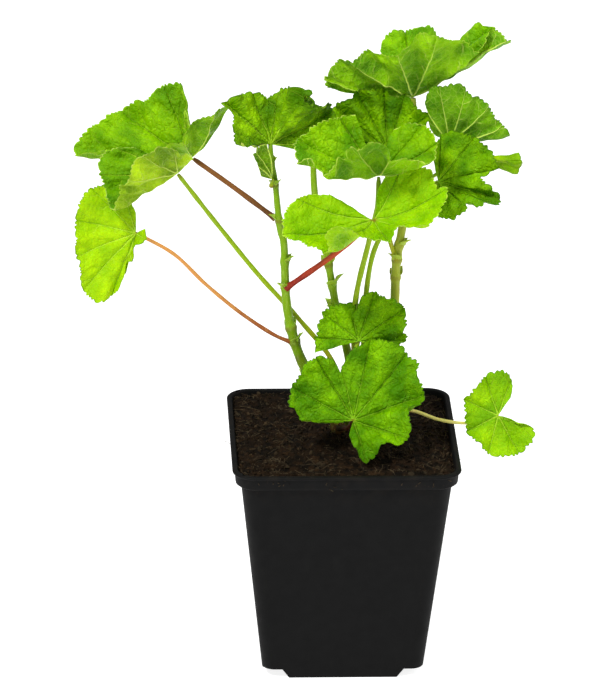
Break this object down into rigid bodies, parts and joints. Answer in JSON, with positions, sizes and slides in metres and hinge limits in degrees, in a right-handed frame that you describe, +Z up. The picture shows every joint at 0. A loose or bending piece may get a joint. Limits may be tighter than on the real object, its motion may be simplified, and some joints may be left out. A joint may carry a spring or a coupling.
{
  "type": "potted zebrina mallow",
  "caption": "Young zebrina mallow with round, lobed, wrinkled green leaves on long stalks, growing in a square black nursery pot of soil; it stands on its flat base.",
  "frame": {"origin": "middle of the pot's flat underside", "axes": "+Z up along the plant, through the middle of the pot; the front of the pot faces -Y and +X is to the right of a viewer in front"},
  "size_m": [0.1819, 0.0904, 0.2618],
  "materials": {
    "pot": "near-black polypropylene with a low sheen",
    "soil": "moist dark potting soil with pale fibres",
    "stem": "smooth green, slightly glossy, finely haired",
    "stem_pale": "yellow-green flushed with pink",
    "leaf_bright": "bright yellow-green upper side, satin, wrinkled between the veins",
    "leaf_fresh": "mid green upper side, satin, wrinkled between the veins",
    "leaf_deep": "deep green upper side, satin, pleated",
    "leaf_under": "paler matt underside with raised pale veins",
    "stalk_green": "yellow-green, round, finely haired",
    "stalk_brown": "brown flushed red, round",
    "stalk_red": "red, round",
    "stalk_tan": "tan to orange, round",
    "stalk_cream": "cream, round"
  },
  "bodies": {
    "root": {"pot": "pot", "soil": "soil", "stem_left": "stem", "stem_middle": "stem", "stem_right": "stem_pale", "leaf_upper_left": "leaf_fresh", "stalk_upper_left": "stalk_brown", "leaf_left_turned": "leaf_under", "stalk_left_turned": "stalk_green", "leaf_left_crown": "leaf_fresh", "leaf_left_young": "leaf_fresh", "stalk_left_young": "stalk_green", "leaf_far_left": "leaf_bright", "stalk_far_left": "stalk_tan", "leaf_middle": "leaf_bright", "stalk_middle": "stalk_red", "leaf_centre": "leaf_bright", "stalk_centre": "stalk_green", "leaf_centre_pleated": "leaf_deep", "stalk_centre_pleated": "stalk_green", "leaf_top": "leaf_under", "leaf_right_upper": "leaf_under", "stalk_right_upper": "stalk_green", "leaf_right": "leaf_deep", "stalk_right": "stalk_green", "leaf_right_young": "leaf_bright", "stalk_right_young": "stalk_green", "leaf_behind_centre": "leaf_deep", "leaf_lower": "leaf_fresh", "stalk_lower": "stalk_green", "leaf_front": "leaf_fresh", "stalk_front": "stalk_red", "leaf_low_right": "leaf_bright", "stalk_low_right": "stalk_cream"}
  },
  "joints": []
}
